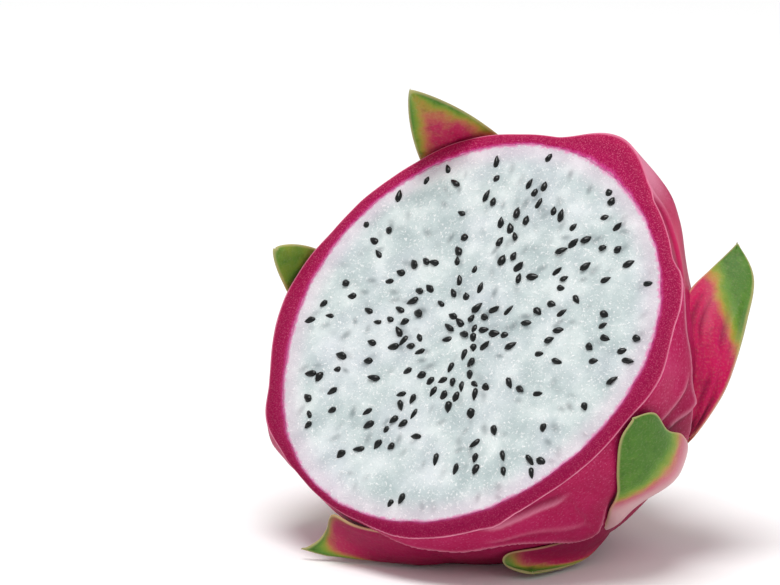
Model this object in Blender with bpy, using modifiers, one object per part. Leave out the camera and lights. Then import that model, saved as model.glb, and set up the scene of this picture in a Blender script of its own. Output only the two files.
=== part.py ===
"""Half a dragon fruit (pitahaya): the stem-end half of a fruit cut crosswise, lying on its side
with the cut face turned up and forward. Metres, +Z up, the origin at the middle of the small
flat spot on which the half rests. Angles are in degrees.

The pieces are shaped about the fruit's own axis, where local Z points out of the cut face and
the stem is at local -Z, and one empty leans that axis over the table."""

import math

import bmesh
import bpy
import numpy as np
from mathutils import Euler, Matrix, Vector

MM = 0.001

# The body of the fruit
RIM_RADIUS = 46.0 * MM  # outside of the peel at the cut
BODY_DEPTH = 48.5 * MM  # from the cut face to the stem end
FULLNESS = 2.15  # 2 is an ellipsoid, more is fuller at the shoulder
PEEL = 3.2 * MM
LEAN = 52.5  # of the axis away from upright
PRESS = 2.6 * MM  # how far the resting spot is pressed flat
SEAM = 0.3 * MM  # between the peel and the flesh
STEM_PIT = 3.0 * MM  # depth of the hollow round the stem

# The bracts, the leaf-like scales of the peel
BRACT_THICKNESS = 1.5 * MM
BRACT_SEAT = 0.5 * MM  # between a bract's underside and the peel

# The woody stub that is left of the stem
STEM_RADIUS = 5.5 * MM
STEM_LENGTH = 9.0 * MM
STEM_SEAT = 0.4 * MM

# name: turn (degrees) and way down the skin of its base, then of its tip, and its width, where
# 100 is the skin's length from the cut edge to the stem end, then lift of the tip off the skin,
# rise of the margins, swelling of the peel under its base (mm) and bluntness of the tip, where
# less is blunter
BRACTS = {
    "bract_front_right": ((-21, 49), (-17, 3), 28, 3, -2, 2.4, 0.62),
    "bract_right": ((25, 61), (43, 29), 29, 9, 4, 2.4, 0.62),
    "bract_top": ((118, 32), (122, -20), 32, 3, 1, 2.0, 0.85),
    "bract_left": ((168, 23), (173, -11), 19, 2, 1, 1.5, 0.70),
    "bract_lower_left": ((-96, 11), (-116, 5), 17, 8, 0, 0.5, 0.75),
    "bract_front_foot": ((-47, 47), (-60, 21), 16, 3, 0, 0.5, 0.60),
    "bract_left_flank": ((-153, 56), (-149, 23), 27, 3, 0, 2.0, 0.60),
    "bract_upper_right": ((71, 61), (73, 28), 27, 3, 0, 2.4, 0.60),
    "bract_back_upper": ((109, 76), (111, 49), 23, 4, 0, 2.4, 0.65),
    "bract_back_left": ((158, 69), (159, 37), 25, 4, 0, 2.4, 0.65),
    "bract_stem_left": ((-160, 89), (-158, 69), 16, 4, 0, 1.5, 0.70),
    "bract_stem_upper": ((60, 89), (62, 72), 16, 4, 0, 1.5, 0.75),
    "bract_stem_right": ((-12, 81), (-8, 62), 19, 4, 0, 1.5, 0.70),
    "bract_under_left": ((-124, 74), (-126, 54), 17, 5, 0, 0.5, 0.70),
    "bract_under_right": ((-72, 88), (-71, 69), 17, 5, 0, 0.5, 0.70),
}

# name: turn of the middle, turn to each side, height (mm), distance down the skin over which it
# fades: the swellings of the peel where the bases of cut-off bracts cross the rim
SHOULDERS = {
    "upper_right": (66, 28, 4.8, 40),
    "lower_left": (-142, 14, 2.2, 30),
}

SKIN_TURNS, SKIN_RINGS = 72, 43
FLESH_TURNS, FLESH_RINGS = 40, 27
BRACT_ACROSS, BRACT_ALONG = 6, 9


def profile_table(radius, depth, fullness, steps=400):
    """Rows of distance down the skin, radius and depth, from the cut edge to the stem end."""
    angle = np.linspace(0.0, math.pi / 2, steps)
    across = radius * np.cos(angle) ** (2 / fullness)
    down = depth * np.sin(angle) ** (2 / fullness)
    travel = np.concatenate([[0.0], np.cumsum(np.hypot(np.diff(across), np.diff(down)))])
    return travel, across, down


SKIN = profile_table(RIM_RADIUS, BODY_DEPTH, FULLNESS)
SKIN_LENGTH = SKIN[0][-1]


def profile_at(travel):
    """Radius, depth and outward slope at a distance down the skin. It is straight past the cut."""
    if travel <= 0.0:
        return RIM_RADIUS, travel, (1.0, 0.0)
    step = 0.5 * MM
    here = min(travel, SKIN_LENGTH)
    across, down = (float(np.interp(here, SKIN[0], column)) for column in SKIN[1:])
    low, high = max(here - step, 0.0), min(here + step, SKIN_LENGTH)
    d_across, d_down = (
        float(np.interp(high, SKIN[0], column) - np.interp(low, SKIN[0], column))
        for column in SKIN[1:]
    )
    size = math.hypot(d_across, d_down)
    return across, down, (d_down / size, -d_across / size)


def turn_between(a, b):
    """Signed turn from b to a in degrees, the short way round."""
    return (a - b + 180.0) % 360.0 - 180.0


def bump(x):
    """1 at x = 0, falling smoothly to 0 at x = -1 and 1."""
    return (1.0 - min(abs(x), 1.0) ** 2) ** 2


def down_skin(percent):
    return percent / 100 * SKIN_LENGTH


def bract_layout(base, tip):
    """Length in metres of a bract laid on the skin, and its direction as (round, down)."""
    start, end = down_skin(base[1]), down_skin(tip[1])
    radius = profile_at((start + end) / 2)[0]
    run = (math.radians(turn_between(tip[0], base[0])) * radius, end - start)
    length = math.hypot(*run)
    return length, (run[0] / length, run[1] / length)


def swelling(turn, travel):
    """How far the peel rises off the plain body at this place."""
    height = 0.0
    for base, tip, width, _lift, _margins, swell, _blunt in BRACTS.values():
        length, way = bract_layout(base, tip)
        radius = max(profile_at(travel)[0], 4 * MM)
        round_ = math.radians(turn_between(turn, base[0])) * radius
        down = travel - down_skin(base[1])
        along = round_ * way[0] + down * way[1]
        aside = round_ * way[1] - down * way[0]
        reach = 0.9 * length if along > 0 else 0.7 * length
        height += swell * MM * bump(along / reach) * bump(aside / (0.8 * down_skin(width)))
    for middle, spread, rise, fade in SHOULDERS.values():
        height += rise * MM * bump(turn_between(turn, middle) / spread) * bump(travel / (fade * MM))
    stem_side = SKIN_LENGTH - travel
    height *= min(1.0, stem_side / (14 * MM))
    return height - STEM_PIT * bump(stem_side / (16 * MM))


def skin_point(turn, travel, height=0.0):
    """A point this far above the peel, about the fruit's own axis."""
    radius, depth, out = profile_at(travel)
    height = height + swelling(turn, max(travel, 0.0))
    radius, depth = radius + out[0] * height, depth + out[1] * height
    angle = math.radians(turn)
    return Vector((radius * math.cos(angle), radius * math.sin(angle), -depth))


def rest_frame():
    """The matrix that leans the fruit over and sets its pressed spot on the table."""
    lean = Euler((math.radians(LEAN), 0.0, 0.0)).to_matrix()
    under = [lean @ skin_point(-90.0, step * MM) for step in range(10, int(SKIN_LENGTH / MM) - 5)]
    lowest = min(under, key=lambda point: point.z)
    return Matrix.Translation((0.0, -lowest.y, -lowest.z - PRESS)) @ lean.to_4x4()


def material(name, colour, roughness, metallic=0.0):
    made = bpy.data.materials.new(name)
    made.use_nodes = True
    made.diffuse_color = (*colour, 1.0)
    shader = made.node_tree.nodes["Principled BSDF"]
    shader.inputs["Base Color"].default_value = (*colour, 1.0)
    shader.inputs["Roughness"].default_value = roughness
    shader.inputs["Metallic"].default_value = metallic
    return made


def object_from(shape, name, collection, parent=None, finish=None):
    """A mesh object made from a bmesh, which is freed."""
    bmesh.ops.recalc_face_normals(shape, faces=shape.faces)
    mesh = bpy.data.meshes.new(name)
    shape.to_mesh(mesh)
    shape.free()
    mesh.shade_smooth()
    mesh.set_sharp_from_angle(angle=math.radians(40))
    made = bpy.data.objects.new(name, mesh)
    collection.objects.link(made)
    made.parent = parent
    if finish:
        mesh.materials.append(finish)
    return made


def as_cutter(made):
    made.hide_render = True
    made.display_type = "WIRE"
    return made


def cut_away(target, cutter):
    cut = target.modifiers.new("cut_by_" + cutter.name, "BOOLEAN")
    cut.operation = "DIFFERENCE"
    cut.object = cutter


def round_body(turns, rings, place):
    """A sphere whose lower half is laid out by place(turn, share of the way down the skin).
    The upper half is a low lid, which the knife takes off."""
    shape = bmesh.new()
    bmesh.ops.create_uvsphere(shape, u_segments=turns, v_segments=rings, radius=1.0)
    lid = 8 * MM
    for vertex in shape.verts:
        x, y, z = vertex.co
        turn = math.degrees(math.atan2(y, x))
        if z <= 0.0:
            vertex.co = place(turn, math.asin(min(1.0, -z)) / (math.pi / 2))
        else:
            edge = place(turn, 0.0)
            inward = 1.0 - z**4
            vertex.co = (edge.x * inward, edge.y * inward, lid * z)
    return shape


def plain_body(wall):
    """The smooth body this far inside the outside of the peel."""
    table = profile_table(RIM_RADIUS - wall, BODY_DEPTH - STEM_PIT - wall, FULLNESS)

    def place(turn, share):
        travel = share * table[0][-1]
        radius, depth = (float(np.interp(travel, table[0], column)) for column in table[1:])
        angle = math.radians(turn)
        return Vector((radius * math.cos(angle), radius * math.sin(angle), -depth))

    return round_body(FLESH_TURNS, FLESH_RINGS, place)


def make_knife(collection, parent):
    """Takes away everything in front of the cut face."""
    shape = bmesh.new()
    side = 4 * RIM_RADIUS
    bmesh.ops.create_cube(shape, size=1.0)
    bmesh.ops.scale(shape, vec=(side, side, side), verts=shape.verts)
    bmesh.ops.translate(shape, vec=(0, 0, side / 2), verts=shape.verts)
    return as_cutter(object_from(shape, "knife", collection, parent))


def make_table(collection):
    """The surface that presses the resting spot flat."""
    shape = bmesh.new()
    side = 4 * RIM_RADIUS
    bmesh.ops.create_cube(shape, size=1.0)
    bmesh.ops.scale(shape, vec=(side, side, side), verts=shape.verts)
    bmesh.ops.translate(shape, vec=(0, 0, -side / 2), verts=shape.verts)
    return as_cutter(object_from(shape, "table", collection))


def make_rind(collection, cutters, axis, knife, table):
    finish = material("dragon_fruit_peel", (0.60, 0.012, 0.13), 0.42)
    shape = round_body(
        SKIN_TURNS, SKIN_RINGS, lambda turn, share: skin_point(turn, share * SKIN_LENGTH)
    )
    rind = object_from(shape, "rind", collection, axis, finish)
    cavity = as_cutter(object_from(plain_body(PEEL), "cavity", cutters, axis))
    for cutter in (cavity, knife, table):
        cut_away(rind, cutter)


def make_flesh(collection, axis, knife):
    finish = material("white_flesh", (0.80, 0.84, 0.84), 0.35)
    flesh = object_from(plain_body(PEEL + SEAM), "flesh", collection, axis, finish)
    cut_away(flesh, knife)


def blade_outline(share, blunt):
    """Half-width of a bract, as a share of its full half-width, from the base to the tip."""
    return (1.0 - share) ** blunt * (1.0 + 0.75 * share)


def make_bract(name, spec, collection, axis, finish, table):
    """A blade laid on the skin from its base to its tip, given its thickness by Solidify."""
    base, tip, width, lift, margins, _swell, blunt = spec
    _length, way = bract_layout(base, tip)
    seat = BRACT_SEAT + BRACT_THICKNESS / 2
    shape = bmesh.new()
    bmesh.ops.create_grid(shape, x_segments=BRACT_ACROSS, y_segments=BRACT_ALONG, size=1.0)
    for vertex in shape.verts:
        across, share = vertex.co.x, 0.5 + 0.5 * vertex.co.y
        aside = 0.5 * down_skin(width) * across * blade_outline(share, blunt)
        travel = down_skin(base[1] + (tip[1] - base[1]) * share) - aside * way[0]
        radius = max(profile_at(travel)[0], 4 * MM)
        turn = base[0] + turn_between(tip[0], base[0]) * share
        turn += math.degrees(aside * way[1] / radius)
        height = seat + lift * MM * share**1.5 + max(margins * share, 0.0) * MM * across**2
        height += min(margins * share, 0.0) * MM * (across**2 - 1.0) * 0.5
        vertex.co = skin_point(turn, travel, height)
    bmesh.ops.remove_doubles(shape, verts=shape.verts, dist=1e-5)
    bract = object_from(shape, name, collection, axis, finish)
    wall = bract.modifiers.new("wall", "SOLIDIFY")
    wall.thickness = BRACT_THICKNESS
    wall.offset = 0.0
    cut_away(bract, table)


def make_stem_stub(collection, axis):
    """A short woody cylinder, a little wider where it was cut from the plant."""
    finish = material("dry_stem", (0.16, 0.13, 0.06), 0.8)
    mouth = range(int(-2 * STEM_RADIUS / MM), 1)
    bottom = max(-skin_point(0.0, SKIN_LENGTH + step * MM).z for step in mouth)
    shape = bmesh.new()
    bmesh.ops.create_cone(
        shape,
        cap_ends=True,
        segments=16,
        radius1=STEM_RADIUS * 1.15,
        radius2=STEM_RADIUS,
        depth=STEM_LENGTH,
    )
    away = bottom + STEM_SEAT + STEM_LENGTH / 2
    bmesh.ops.translate(shape, vec=(0, 0, -away), verts=shape.verts)
    stub = object_from(shape, "stem_stub", collection, axis, finish)
    edge = stub.modifiers.new("worn_edge", "BEVEL")
    edge.width = 0.8 * MM
    edge.segments = 2


def main():
    for old in list(bpy.data.objects):
        bpy.data.objects.remove(old)
    fruit = bpy.data.collections.new("dragon_fruit_half")
    cutters = bpy.data.collections.new("cutters")
    for collection in (fruit, cutters):
        bpy.context.scene.collection.children.link(collection)
    rest = rest_frame()
    axis = bpy.data.objects.new("fruit_axis", None)
    axis.matrix_world = rest
    fruit.objects.link(axis)
    knife = make_knife(cutters, axis)
    table = make_table(cutters)
    make_rind(fruit, cutters, axis, knife, table)
    make_flesh(fruit, axis, knife)
    green_pink = material("bract_skin", (0.25, 0.38, 0.06), 0.5)
    for name, spec in BRACTS.items():
        make_bract(name, spec, fruit, axis, green_pink, table)
    make_stem_stub(fruit, axis)
    face = rest @ Vector((0.0, 0.0, 0.0))
    print("face centre at", [round(value / MM, 2) for value in face], "mm")


main()
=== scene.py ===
# Half a dragon fruit lying on its side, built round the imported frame.
# Sizes are in millimetres and angles in degrees until a mesh is placed, when they turn to metres.
# Places on the fruit are given as turn (round the fruit's own axis), travel (down the skin from
# the cut edge) and height (above the skin).
import math

import bpy
import numpy as np
from mathutils import Matrix, Vector, noise


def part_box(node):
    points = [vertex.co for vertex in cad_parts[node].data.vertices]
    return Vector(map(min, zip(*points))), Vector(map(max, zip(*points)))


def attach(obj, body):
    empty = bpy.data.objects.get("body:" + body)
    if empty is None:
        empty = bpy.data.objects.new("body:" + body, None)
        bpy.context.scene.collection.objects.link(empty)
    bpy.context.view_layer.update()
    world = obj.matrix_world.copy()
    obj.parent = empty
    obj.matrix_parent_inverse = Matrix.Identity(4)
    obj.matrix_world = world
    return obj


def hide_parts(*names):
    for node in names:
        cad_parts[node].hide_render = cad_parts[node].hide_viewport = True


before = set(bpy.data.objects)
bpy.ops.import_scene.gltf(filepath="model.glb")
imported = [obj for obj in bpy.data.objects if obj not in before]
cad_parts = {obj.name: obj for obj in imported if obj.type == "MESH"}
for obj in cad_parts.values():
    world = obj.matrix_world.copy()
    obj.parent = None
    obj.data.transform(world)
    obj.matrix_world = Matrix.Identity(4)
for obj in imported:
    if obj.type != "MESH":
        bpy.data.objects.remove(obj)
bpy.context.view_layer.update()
mm = 0.001


def bump(x):  # 1 at 0, falling smoothly to 0 at -1 and 1
    return (1.0 - np.minimum(np.abs(x), 1.0) ** 2) ** 2


def smooth(x, low=0.0, high=1.0):  # 0 below low, 1 above high
    share = np.clip((x - low) / (high - low), 0.0, 1.0)
    return share * share * (3.0 - 2.0 * share)


def turnBetween(a, b):
    return (a - b + 180.0) % 360.0 - 180.0


def throughPoints(table, share):  # rows of numbers joined by a smooth curve, read at each share
    rows = np.array(table, dtype=float)
    rows = np.vstack([2 * rows[0] - rows[1], rows, 2 * rows[-1] - rows[-2]])
    place = np.clip(share, 0.0, 1.0) * (len(rows) - 3)
    first = np.minimum(place.astype(int), len(rows) - 4)
    t = (place - first)[..., None]
    a, b, c, d = (rows[first + k] for k in range(4))
    return 0.5 * (
        2 * b + (c - a) * t + (2 * a - 5 * b + 4 * c - d) * t**2 + (3 * b - a - 3 * c + d) * t**3
    )


def roughly(points, size, seed=0.0):  # smooth noise from -1 to 1, size is the width of a hump
    flat = points.reshape(-1, 3) / size
    out = np.array([noise.noise(Vector((x + seed, y - seed, z))) for x, y, z in flat])
    return out.reshape(points.shape[:-1])


# The fruit's own axes come from the CAD cut face
def largestFlatFace(node):
    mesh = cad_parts[node].data
    mesh.calc_loop_triangles()
    points = np.array([vertex.co[:] for vertex in mesh.vertices])
    corners = points[np.array([tri.vertices[:] for tri in mesh.loop_triangles])]
    doubled = np.cross(corners[:, 1] - corners[:, 0], corners[:, 2] - corners[:, 0])
    areas = np.linalg.norm(doubled, axis=1)
    outward = doubled[areas.argmax()] / areas.max()
    on = doubled @ outward > 0.9999 * areas
    centre = (corners[on].mean(axis=1) * areas[on, None]).sum(axis=0) / areas[on].sum()
    return centre, outward, np.linalg.norm(corners[on] - centre, axis=2).max()


faceCentre, faceOut, fleshReach = largestFlatFace("flesh")
sideways = np.array([1.0, 0.0, 0.0])
upFace = np.cross(faceOut, sideways)


def placed(points):  # from the fruit's axes in mm to the frame in metres
    x, y, z = points[..., 0:1], points[..., 1:2], points[..., 2:3]
    return faceCentre + mm * (x * sideways + y * upFace + z * faceOut)


# The body under the leaf bases: a plain rounded shape whose cut edge and flesh lie off centre
body = {
    "depth": 48.5,  # from the cut face to the stem end
    "fullness": 2.15,  # 2 is an ellipsoid
    "wall": 3.5,  # mean thickness of the peel at the cut
    "stemPit": 3.0,
    "fleshShift": (1.9, 128.0),  # the flesh lies off centre: distance and direction
    "rimShift": (1.3, 150.0),
    "fleshLow": (-107.0, 66.0, 2.0),  # fuller flesh low on the cut: direction, reach and amount
}
rimRadius = fleshReach / mm + body["wall"]

# turn, travel, reach round (degrees), reach down, height
mounds = {
    "cutBractBase": (69, 0, 19, 29, 4.9),
    "cutBractLobe": (54, 10, 15, 11.5, 2.8),
    "lowerEdge": (-95, 0, 42, 14, -0.9),
    "upperRightHollow": (26, 13, 19, 15, -1.9),
    "lowerRightHollow": (-31, 27, 15, 15, -3.0),
    "lowerLeftCorner": (-147, 1, 11, 20, 0.9),
    "lowerLeftBulge": (-144, 7, 17, 8, 2.2),
    "leftCheek": (178, 0, 22, 18, 1.0),
    "rightCheek": (-4, 0, 15, 14, 1.5),
    "frontHollow": (-48, 6, 26, 14, -0.7),
    "footHollow": (-130, 4, 18, 12, -0.9),
}

# Each fold is where one fused leaf base laps over the next. Path of (turn, travel), rise, width
# of the slope on the raised side, width of the drop, and which side is raised.
folds = {
    "frontBand": ([(-104, 0.5), (-94, 1.5), (-84, 4), (-73, 6), (-62, 8), (-54, 13.5), (-49, 20),
                   (-44, 23), (-39, 21.5), (-34, 17)], 1.9, 8, 1.0, 1),
    "rimCrease": ([(-66, -0.2), (-60, 0.3), (-54, 1), (-49, 2), (-45, 3.2), (-40, 4.6)],
                  0.8, 5, 1.0, -1),
    "bandCrease": ([(-68, 4), (-60, 5), (-53, 8), (-47, 13), (-42, 17)], 0.3, 3, 1.2, 1),
    "drapeUpper": ([(-14, 8), (-9, 9.5), (-3, 10.5), (4, 9)], 0.7, 3, 1.1, 1),
    "drapeLower": ([(-13, 13), (-8, 14.5), (-3, 16.5), (4, 18)], 0.8, 3, 1.1, 1),
    "rightRidge": ([(34, -2), (24, 0), (13, 3), (5, 10), (-1, 18), (-7, 25), (-12, 34)],
                   1.9, 5, 1.6, -1),
    "cutBractEdge": ([(60, -3), (48, 1.5), (38, 4), (30, 7), (20, 12)], 0.7, 4, 1.3, 1),
    "leftCrease": ([(-128, 5), (-138, 3.5), (-150, 6), (-160, 14)], 0.8, 5, 1.0, -1),
}

# base and tip are turn and travel. width, lift of the tip, cup (rise of the margins) and swell (of
# the skin under it) are in mm, and so are bulge (of its middle) and wrinkle (depth of its creases).
# blunt: less is blunter. green starts at this share of its length, spreads over span, and runs
# down the margins by margins. skew slants that border. A cap on how green the tip gets is painted
# light: it is lower on the shaded left leaf, so that leaf shows a lighter green. pale tints the part
# near the base, and another value darkens it there as painted shade
bracts = {
    "bract_front_right": dict(base=(-25, 40), tip=(-16.5, -1.8), width=22, lift=2.0, cup=-1.6,
                              swell=1.8, blunt=0.5, green=0.46, span=0.2, margins=0.0,
                              bulge=1.6, pale=0.85, skew=0.12),
    "bract_right": dict(base=(2, 40), tip=(45, 20.5), width=12, lift=12, cup=0.0,
                        swell=2.0, blunt=0.5, green=0.62, span=0.2, margins=0.04,
                        bulge=-1.0, wrinkle=0.6, skew=-0.14),
    "bract_top": dict(base=(117, 26), tip=(118.5, -17.6), width=23, lift=2.0, cup=0.8,
                      swell=2.0, blunt=0.85, green=0.56, span=0.62, margins=0.42),
    # painted light: a lower cap on its green keeps this shaded leaf a lighter green
    "bract_left": dict(base=(168, 19), tip=(169, -7.5), width=14.5, lift=1.2, cup=0.8,
                       swell=1.5, blunt=0.72, green=0.30, span=0.35, margins=0.2, ripe=0.74),
    "bract_lower_left": dict(base=(-94, 11), tip=(-115, 4.5), width=12.5, lift=9.5, cup=0,
                             swell=0.5, blunt=0.75, green=0.5, span=0.34, margins=0.25,
                             bulge=0.4, wrinkle=0.1, dark=0.7),
    "bract_front_foot": dict(base=(-42, 34), tip=(-64, 20.5), width=17, lift=3.4, cup=0,
                             swell=0.5, blunt=0.55, green=0.55, span=0.45, margins=0.22,
                             bulge=0.6, wrinkle=0.1, dark=0.8),
}

# The leaves on the sides away from the cut, in the same terms
for place, base, tip, width, lift, cup, swell, blunt, green, span in (
    ("left_flank", (-153, 42), (-149, 17), 20, 3, 0.6, 2.0, 0.6, 0.5, 0.45),
    ("upper_right", (71, 46), (73, 21), 20, 3, 0.6, 2.4, 0.6, 0.5, 0.45),
    ("back_upper", (109, 57), (111, 37), 17, 4, 0.6, 2.4, 0.65, 0.45, 0.45),
    ("back_left", (158, 52), (159, 28), 19, 4, 0.6, 2.4, 0.65, 0.5, 0.45),
    ("stem_left", (-160, 67), (-158, 52), 12, 4, 0.5, 1.5, 0.7, 0.4, 0.5),
    ("stem_upper", (60, 67), (62, 54), 12, 4, 0.5, 1.5, 0.75, 0.4, 0.5),
    ("stem_right", (-12, 61), (-8, 48), 14, 1.0, 0.5, 1.5, 0.7, 0.4, 0.5),
    ("under_left", (-124, 56), (-126, 40), 13, 5, 0, 0.5, 0.7, 0.4, 0.5),
    ("under_right", (-72, 66), (-71, 52), 13, 5, 0, 0.5, 0.7, 0.4, 0.5),
):
    bracts["bract_" + place] = dict(base=base, tip=tip, width=width, lift=lift, cup=cup, swell=swell,
                                    blunt=blunt, green=green, span=span, margins=0.3)


def profile(radius, depth):
    angle = np.linspace(0.0, math.pi / 2, 700)
    across = radius * np.cos(angle) ** (2 / body["fullness"])
    down = depth * np.sin(angle) ** (2 / body["fullness"])
    travel = np.concatenate([[0.0], np.cumsum(np.hypot(np.diff(across), np.diff(down)))])
    return travel, across, down


skin = profile(rimRadius, body["depth"])
skinLength = skin[0][-1]


def skinBase(travel):  # radius, depth and outward slope, straight past the cut
    here = np.clip(travel, 0.0, skinLength)
    across, down = (np.interp(here, skin[0], column) for column in skin[1:])
    low, high = np.clip(here - 0.6, 0, None), np.clip(here + 0.6, None, skinLength)
    dAcross, dDown = (
        np.interp(high, skin[0], column) - np.interp(low, skin[0], column) for column in skin[1:]
    )
    size = np.hypot(dAcross, dDown)
    past = travel <= 0.0
    return (
        across,
        np.where(past, travel, down),
        np.where(past, 1.0, dDown / size),
        np.where(past, 0.0, -dAcross / size),
    )


def swelling(turn, travel):  # the broad shape of the skin over the plain body
    stemSide = skinLength - travel
    radius = np.maximum(skinBase(travel)[0], 4.0)
    height = np.zeros(np.broadcast(turn, travel).shape)
    for spec in bracts.values():
        base, tip = spec["base"], spec["tip"]
        middle = skinBase(np.array((base[1] + tip[1]) / 2))[0]
        run = (math.radians(turnBetween(tip[0], base[0])) * float(middle), tip[1] - base[1])
        length = math.hypot(*run)
        way = (run[0] / length, run[1] / length)
        around = np.radians(turnBetween(turn, base[0])) * radius
        down = travel - base[1]
        along = around * way[0] + down * way[1]
        aside = around * way[1] - down * way[0]
        reach = np.where(along > 0, 0.9, 0.7) * length
        height = height + spec["swell"] * bump(along / reach) * bump(aside / (0.8 * spec["width"]))
    for middle, centre, spread, reach, rise in mounds.values():
        height = height + (
            rise * bump(turnBetween(turn, middle) / spread) * bump((travel - centre) / reach)
        )
    shift, way = body["rimShift"]
    height = height + shift * np.cos(np.radians(turn - way)) * (1 - smooth(travel, 5, 45))
    height = height * np.minimum(1.0, stemSide / 14)
    return height - body["stemPit"] * bump(stemSide / 16)


def onSkin(turn, travel, height=0.0, swollen=True):
    across, down, outAcross, outDown = skinBase(travel)
    if swollen:
        height = height + swelling(turn, np.maximum(travel, 0.0))
    across, down = across + outAcross * height, down + outDown * height
    angle = np.radians(turn)
    return np.stack(np.broadcast_arrays(across * np.cos(angle), across * np.sin(angle), -down), -1)


def foldField(turn, travel):  # height, painted crease shade and pale edge that the folds give
    points = onSkin(turn, travel, swollen=False)
    height, dark, pale = (np.zeros(turn.shape) for _ in range(3))
    for path, rise, soft, drop, side in allFolds:
        line = throughPoints(path, np.linspace(0, 1, 70))
        spots = onSkin(line[:, 0], line[:, 1], swollen=False)
        _, _, outAcross, outDown = skinBase(line[:, 1])
        angle = np.radians(line[:, 0])
        out = np.stack([outAcross * np.cos(angle), outAcross * np.sin(angle), -outDown], -1)
        run = np.gradient(spots, axis=0)
        run /= np.linalg.norm(run, axis=1, keepdims=True)
        across = side * np.cross(out, run)
        near = np.full(turn.shape, 1e9)
        which = np.zeros(turn.shape, dtype=int)
        for index, spot in enumerate(spots):
            distance = ((points - spot) ** 2).sum(-1)
            closer = distance < near
            near, which = np.where(closer, distance, near), np.where(closer, index, which)
        away = points - spots[which]
        offset = (away * across[which]).sum(-1)
        past = np.abs((away * run[which]).sum(-1))
        share = which / (len(spots) - 1)
        ends = smooth(np.minimum(share, 1 - share), 0.0, 0.22) * np.exp(-((past / 2.5) ** 2))
        ends = ends * (near < 25**2)
        up = np.where(offset >= 0, np.exp(-((offset / soft) ** 2)), smooth(1 + offset / drop))
        height += rise * ends * up
        # painted shade: a dark line in each fold's crease and a broad shade below the fold
        crease = np.exp(-(((offset + 1.1 * drop) / (0.9 * drop)) ** 2))
        shade = 0.5 * np.exp(-(((offset + 3 * drop) / (2.6 * drop)) ** 2)) * (offset < 0)
        dark += ends * np.maximum(crease, shade) * min(rise, 1.0)
        pale += 0.7 * ends * np.exp(-(((offset - 0.1) / 0.55) ** 2)) * min(rise, 1.0)
    return height, dark, pale


def fleshEdge(turn):  # radius of the flesh at the cut
    shift, way = body["fleshShift"]
    angle = np.radians(turn)
    uneven = 0.25 * np.cos(3 * angle + 0.6) + 0.18 * np.cos(5 * angle - 1.1)
    fine = 0.07 * np.cos(23 * angle) + 0.06 * np.cos(37 * angle + 2)
    low, reach, amount = body["fleshLow"]
    fuller = amount * bump(turnBetween(turn, low) / reach)
    return fleshReach / mm + shift * np.cos(np.radians(turn - way)) + fuller + uneven + fine


# The margins of a leaf base run on down the skin as low ridges. Three loose leaves have none, and
# neither do the leaves near the stem
leafRidge = {"rise": 0.7, "soft": 5, "drop": 1.4, "lastTravel": 62, "stemClear": 7}
looseLeaves = ("bract_right", "bract_lower_left", "bract_front_foot")
ridgeSteps = ((0.8, -6), (1.05, 2), (1.0, 10), (0.8, 19))  # share of half a width, travel
allFolds = [tuple(fold) for fold in folds.values()]
for nodeName, spec in bracts.items():
    turn, travel = spec["base"]
    if nodeName in looseLeaves or travel > leafRidge["lastTravel"]:
        continue
    for side in (-1, 1):
        half = math.degrees(0.5 * spec["width"] / max(float(skinBase(np.array(travel))[0]), 8))
        run = [
            (turn + side * half * wide, min(travel + down, skinLength - leafRidge["stemClear"]))
            for wide, down in ridgeSteps
        ]
        allFolds.append((run, leafRidge["rise"], leafRidge["soft"], leafRidge["drop"], -side))


def makePiece(name, points, faces, materials, attributes=None, slots=None, press=True):
    place = placed(points)
    if press:
        place[..., 2] = np.maximum(place[..., 2], 0.0)  # flat where it rests
    mesh = bpy.data.meshes.new(name)
    mesh.from_pydata(place.tolist(), [], [tuple(face) for face in faces])
    for material in materials:
        mesh.materials.append(material)
    if slots is not None:
        mesh.polygons.foreach_set("material_index", np.array(slots, dtype=np.int32))
    for key, values in (attributes or {}).items():
        layer = mesh.attributes.new(key, "FLOAT", "POINT")
        layer.data.foreach_set("value", np.array(values, dtype=np.float32).ravel())
    mesh.shade_smooth()
    mesh.validate()
    piece = bpy.data.objects.new(name, mesh)
    bpy.context.scene.collection.objects.link(piece)
    return piece


def ringFaces(rows, turns, first=0, flip=False):  # quads between closed rings of points
    row, turn = np.meshgrid(np.arange(rows - 1), np.arange(turns), indexing="ij")
    a = first + row * turns + turn
    b = first + row * turns + (turn + 1) % turns
    faces = np.stack([a, b, b + turns, a + turns], -1).reshape(-1, 4)
    return faces[:, ::-1] if flip else faces


def endFaces(rows, turns, flip=False):  # from both end rings to the two points that follow them
    first = rows * turns
    faces = []
    for k in range(turns):
        after = (k + 1) % turns
        ends = [(after, k, first), (first - turns + k, first - turns + after, first + 1)]
        faces += [end[::-1] for end in ends] if flip else ends
    return faces


def linear(hexColour):
    parts = [int(hexColour[k : k + 2], 16) / 255 for k in (1, 3, 5)]
    return (*(c / 12.92 if c <= 0.04045 else ((c + 0.055) / 1.055) ** 2.4 for c in parts), 1.0)


def addNode(tree, kind, settings=None, links=None):
    node = tree.nodes.new(kind)
    for key, value in (settings or {}).items():
        if key == "stops":
            ramp = node.color_ramp
            while len(ramp.elements) < len(value):
                ramp.elements.new(0.5)
            for element, (place, colour) in zip(ramp.elements, value):
                element.position = place
                element.color = linear(colour) if isinstance(colour, str) else (*[colour] * 3, 1)
        else:
            setattr(node, key, value)
    for key, value in (links or {}).items():
        if isinstance(value, bpy.types.NodeSocket):
            tree.links.new(value, node.inputs[key])
        else:
            isColour = isinstance(value, str) and value.startswith("#")
            node.inputs[key].default_value = linear(value) if isColour else value
    return node


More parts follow.
